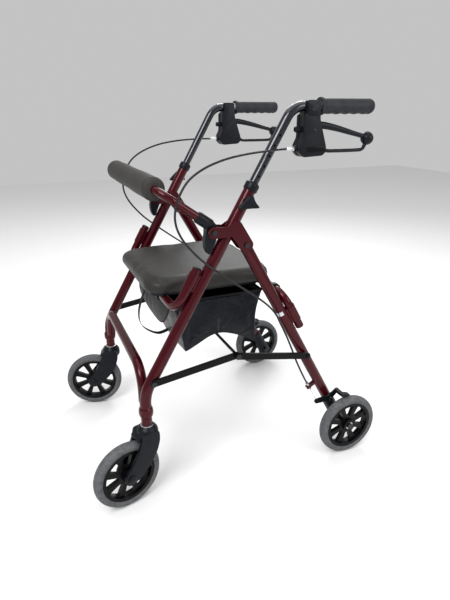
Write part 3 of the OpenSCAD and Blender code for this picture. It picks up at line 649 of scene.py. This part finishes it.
verts = [pouch_point(y, z, x) for x in np.linspace(-POUCH_HALF, POUCH_HALF, STATIONS) for y, z in side_curve]
m = len(side_curve)
rows = [list(range(i * m, (i + 1) * m)) for i in range(STATIONS)]
faces = [face for a, b in zip(rows, rows[1:]) for face in strip(a, b)]
for first, x in ((rows[0], -POUCH_HALF), (rows[-1], POUCH_HALF)):
    outward = 1 if x > 0 else -1
    previous = first
    for step in range(1, END_ROWS + 1):
        f = step / END_ROWS
        rise = math.sin(math.pi * f)
        row = []
        for k, (y0, z0) in enumerate(side_curve):
            t = k / (m - 1)
            y1, z1 = -152 + 252 * t, HEM_Z
            bulge = 6 * rise * math.sin(math.pi * t) * outward
            fold = (3.0 * rise * math.sin(11 * t + 4 * f) + 1.5 * rise * math.sin(24 * t - 5 * f)) * outward
            row.append(len(verts))
            verts.append((x + bulge + fold, y0 + (y1 - y0) * f, z0 + (z1 - z0) * f))
        faces += strip(previous, row)
        previous = row
rim = [(x, y, HEM_Z - 0.5) for x, y in rounded_rect(POUCH_HALF + 0.5, -153, 101, 6, 3)]
hem = sweep(rim, 3.0, 10, closed=True, flat=(0, 0, 1))


def half_of(name, geometry, mat, rear, skin=0.0):
    """Front or rear half of a cloth piece, cut above the cross rod. The front half rides on the front frame,
    the rear half on the rear frame."""
    half = mesh_object(name, geometry[0], geometry[1], 55)
    bm = bmesh.new()
    bm.from_mesh(half.data)
    bmesh.ops.remove_doubles(bm, verts=bm.verts, dist=0.0002)
    if skin:
        bmesh.ops.solidify(bm, geom=bm.faces[:], thickness=skin)
    cut = bmesh.ops.bisect_plane(
        bm, geom=bm.verts[:] + bm.edges[:] + bm.faces[:], plane_co=(0, ROD_CUT, 0), plane_no=(0, 1, 0),
        clear_outer=not rear, clear_inner=rear,
    )
    bmesh.ops.holes_fill(bm, edges=[e for e in cut["geom_cut"] if isinstance(e, bmesh.types.BMEdge)], sides=0)
    bm.to_mesh(half.data)
    bm.free()
    half.data.shade_smooth()
    half.data.materials.append(mat)
    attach(half, "rear_frame" if rear else "front_frame")
    if rear:
        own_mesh(half)
    else:
        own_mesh(half)
    return half


for part, rear in (("front", False), ("rear", True)):
    cloth = half_of("pouch_cloth_" + part, (verts, faces), NYLON, rear, CLOTH_THICKNESS)
    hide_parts("pouch")
    half_of("pouch_hem_" + part, hem, WEB, rear)


def tab(x, centre, hem_y, toward, tilt, r=12.6):
    """Webbing loop round a bow's tube, and the short tongue from it to the hem."""
    angles = [math.radians(a) for a in range(0, 360, 20)]
    ring = [(x, centre[0] + r * math.cos(a), centre[1] + r * math.sin(a)) for a in angles]
    return merge(
        sweep(ring, (0.9, 9.0), 10, closed=True, flat=(1, 0, 0)),
        sweep([(x, hem_y, 484), (x, centre[0] + toward, 490)], (9.0, 1.0), 10, flat=(0, 1, tilt)),
    )


tabs_front = merge(*[tab(x, FRONT_BOW, -154, 9, 0.3) for x in (-70, 0.1, 70)])
add("pouch_tabs_front", tabs_front, WEB, "front_frame", None)
tabs_rear = merge(*[tab(x, REAR_BOW, 101, -9, -0.3) for x in (-95, 0.1, 95)])
add("pouch_tabs_rear", tabs_rear, WEB, "rear_frame", None)


def pocket_point(u, w, front):
    """Padded pocket: u runs across from -1 to 1, w runs down from 0 to 1."""
    half = 146 * (1 - 0.16 * w**2.5)
    low = 482 - 86 * w * (1 - 0.5 * abs(u) ** 3.2)
    swell = (1 - u**6) * math.sin(math.pi * min(1.0, 0.12 + 0.88 * w)) ** 0.7
    crease = 1.6 * math.sin(u * 9.0 + 3 * w) * w + 1.0 * math.sin(u * 21 - 5 * w) * w
    depth = 19 * swell + crease * (1 - u**4) * (1 - w**4)
    return (u * half, -159 - (depth if front else 0.0), low)


NU, NW = 48, 18
verts, faces = [], []
for front in (False, True):
    base = len(verts)
    verts += [pocket_point(2 * i / NU - 1, j / NW, front) for i in range(NU + 1) for j in range(NW + 1)]
    for i in range(NU):
        for j in range(NW):
            q = base + i * (NW + 1) + j
            faces.append((q, q + 1, q + NW + 2, q + NW + 1))
ring = [(i, 0) for i in range(NU)] + [(NU, j) for j in range(NW)]
ring += [(i, NW) for i in range(NU, 0, -1)] + [(0, j) for j in range(NW, 0, -1)]
half_count = (NU + 1) * (NW + 1)
for (i0, j0), (i1, j1) in zip(ring, ring[1:] + ring[:1]):
    a, b = i0 * (NW + 1) + j0, i1 * (NW + 1) + j1
    faces.append((a, b, b + half_count, a + half_count))
pocket = add("front_pocket_pad", (verts, faces), POCKET, "front_frame", "front_pocket", 60)
edge = [pocket_point(2 * i / NU - 1, j / NW, False) for i, j in ring]
edge = [(x, -160.2, z) for x, y, z in edge]
binding = sweep(edge, 2.0, 10, closed=True, flat=(0, 1, 0))
add("pocket_binding", binding, WEB, "front_frame", None)

strap_line = catmull([(0, -177, 493), (0, -186, 470), (0, -198, 440), (0, -205, 410), (0, -203, 381),
                      (0, -188, 358), (0, -156, 339), (0, -130, 342), (0, -118, 349)], 6)
webbing = sweep(strap_line, (10.0, 0.9), 12, start_up=(0, 1, 0.2))
strap = add("lift_strap", webbing, WEB, "front_frame", "pull_strap")


# ---------- Caster forks ----------


def in_caster(geometry):
    """From the caster's own axes, with its stem at x = y = 0, to its place on the walker."""
    c, s = math.cos(CASTER_TURN), math.sin(CASTER_TURN)
    x0, y0 = LEG_FOOT[:2]
    return [(x0 + x * c - y * s, y0 + x * s + y * c, z) for x, y, z in geometry[0]], geometry[1]


blade = rounded([(20, 198), (21, 170), (12, 141), (-8, 111), (-42, 77)] + arc(WHEEL_AXLE, 18, -38, -190, 8)
                + [(-76, 103), (-56, 128), (-41, 152), (-30, 180), (-27, 198)], 10, 5)
bridge = rounded([(17, 198), (17, 182), (-32, 179), (-37, 182), (-28, 193), (-22, 198)], 5, 4)
axle_cap = [(10.4, 0), (10.4, 2.2), (9.2, 3.6), (6.4, 4.6), (0.2, 5.0)]
crown = [(25.6, 178), (27.0, 181), (27.4, 186), (27.2, 193), (25.6, 199), (22.5, 203.6), (18.5, 207.2),
         (16.6, 209.4), (15.8, 210.6), (12.2, 210.6)]
for side in SIDES:
    parts = [
        plate(blade, -27, -18, 4.0, 6), plate(blade, 18, 27, 4.0, 6),
        lathe(crown, (0, 0, 0), (0, 0, 1), 48),
        plate(bridge, -20, 20, 3.0, 4),
        lathe(axle_cap, (27, *WHEEL_AXLE), (1, 0, 0), 32),
        lathe(axle_cap, (-27, *WHEEL_AXLE), (-1, 0, 0), 32),
    ]
    fork = flip(in_caster(merge(*parts)), side)
    add(f"fork_{side}", fork, CHARCOAL, f"caster_{side}", f"caster_fork_{side}")
    ring = lathe([(15.2, 208.6), (16.4, 209), (16.4, 211.2), (15.2, 211.6)], (0, 0, 0), (0, 0, 1), 40)
    add(f"fork_washer_{side}", flip(in_caster(ring), side), STEEL, f"caster_{side}", None)


# ---------- Stage ----------

FLOOR_HALF = 6000
corners = ((-1, -1), (1, -1), (1, 1), (-1, 1))
floor = mesh_object("floor", [(i * FLOOR_HALF, j * FLOOR_HALF, -0.5) for i, j in corners], [(0, 1, 2, 3)])
floor_mat = bpy.data.materials.new("floor_pale")
floor_mat.use_nodes = True
fb = floor_mat.node_tree.nodes["Principled BSDF"]
fb.inputs["Base Color"].default_value = (0.80, 0.80, 0.80, 1)
fb.inputs["Roughness"].default_value = 0.75
floor.data.materials.append(floor_mat)

world = bpy.data.worlds.new("studio")
bpy.context.scene.world = world
world.use_nodes = True
world.node_tree.nodes["Background"].inputs["Color"].default_value = (1.0, 1.0, 1.0, 1)
world.node_tree.nodes["Background"].inputs["Strength"].default_value = 0.55


def area_light(name, place, target, size, power):
    """Rectangular light at place, turned to target. Metres and watts."""
    data = bpy.data.lights.new(name, "AREA")
    data.shape = "RECTANGLE"
    data.size, data.size_y = size
    data.energy = power
    ob = bpy.data.objects.new(name, data)
    ob.location = place
    ob.rotation_euler = (Vector(target) - Vector(place)).to_track_quat("-Z", "Y").to_euler()
    bpy.context.scene.collection.objects.link(ob)


area_light("key", (1.6, -1.8, 2.6), (0, 0, 0.5), (1.6, 1.2), 72)
area_light("fill", (2.2, 1.8, 1.8), (0, 0, 0.5), (1.4, 1.4), 30)
area_light("top", (0, 0, 4.2), (0, 0, 0), (4.5, 4.5), 95)
area_light("rim", (-2.0, 1.2, 2.2), (0, 0, 0.6), (1.2, 1.2), 30)

bpy.context.scene.view_settings.view_transform = "Standard"
camera_data = bpy.data.cameras.new("camera")
camera_data.lens = 29.18
camera_data.sensor_width = 36
camera = bpy.data.objects.new("camera", camera_data)
camera.location = (1.2470, -0.4723, 0.9361)
camera.rotation_euler = Vector((-0.85776, 0.36365, -0.36332)).to_track_quat("-Z", "Y").to_euler()
bpy.context.scene.collection.objects.link(camera)
bpy.context.scene.camera = camera
